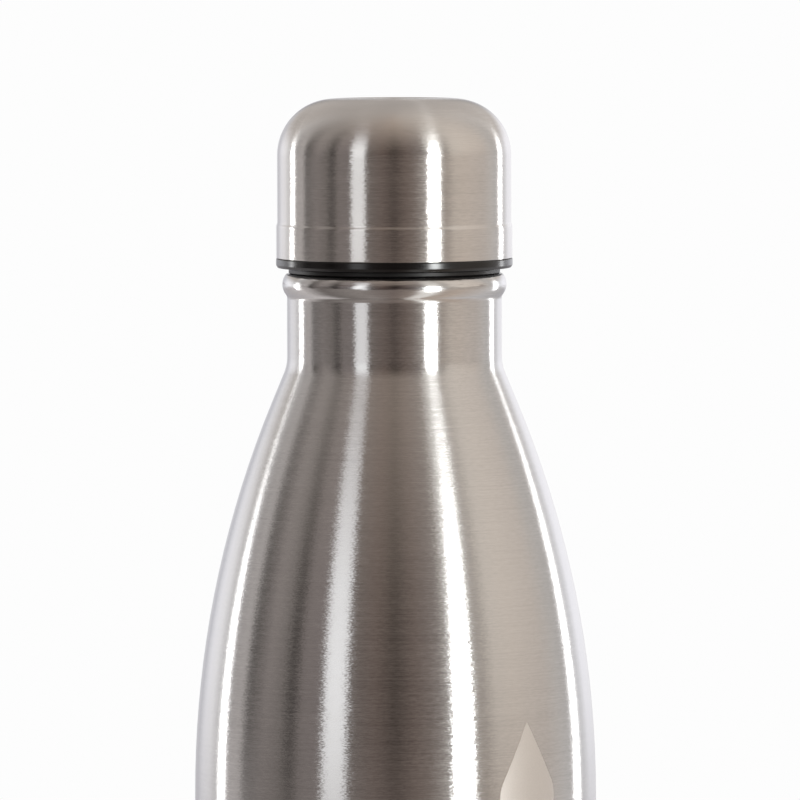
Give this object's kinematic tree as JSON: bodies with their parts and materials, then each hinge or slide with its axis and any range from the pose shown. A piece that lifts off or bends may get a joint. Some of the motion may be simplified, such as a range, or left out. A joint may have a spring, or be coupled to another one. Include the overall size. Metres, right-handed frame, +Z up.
{
  "type": "insulated water bottle",
  "caption": "Double-walled vacuum bottle in brushed steel with a slim neck, rolled mouth bead and a domed screw stopper on a black flange.",
  "frame": {"origin": "centre of the foot ring, in the plane that the bottle stands on", "axes": "+Z up along the bottle's own axis and the stopper's thread axis; X and Y are free, because the outside is round"},
  "size_m": [0.07, 0.07, 0.265],
  "materials": {
    "brushed_steel": "satin",
    "base_steel": "satin",
    "plain_steel": "satin",
    "copper_foil": "satin",
    "getter_alloy": "matte",
    "sealing_glass": "gloss",
    "black_plastic": "satin",
    "black_silicone": "matte",
    "white_foam": "matte"
  },
  "bodies": {
    "bottle": {"outer_shell": "brushed_steel", "outer_base": "base_steel", "base_cover": "base_steel", "vent_seal": "sealing_glass", "getter_pill": "getter_alloy", "getter_clip": "plain_steel", "radiation_foil": "copper_foil", "inner_flask": "plain_steel", "inner_floor": "plain_steel"},
    "seal": {"seal_ring": "black_silicone"},
    "closure": {"stopper_body": "black_plastic", "foam_insert": "white_foam", "stopper_lid": "black_plastic", "cap_shell": "brushed_steel"}
  },
  "joints": [
    {"name": "closure_lift", "type": "slide", "parent": "bottle", "child": "seal", "axis": [0, 0, 1], "range_m": [0, 0.01601]},
    {"name": "closure_turn", "type": "hinge", "parent": "seal", "child": "closure", "pos_m": [0, 0, 0.2346], "axis": [0, 0, 1], "range_deg": [0, 1440]}
  ],
  "couplings": [
    {"joint": "closure_lift", "follows": "closure_turn", "m_per_rad": 0.00063662}
  ]
}
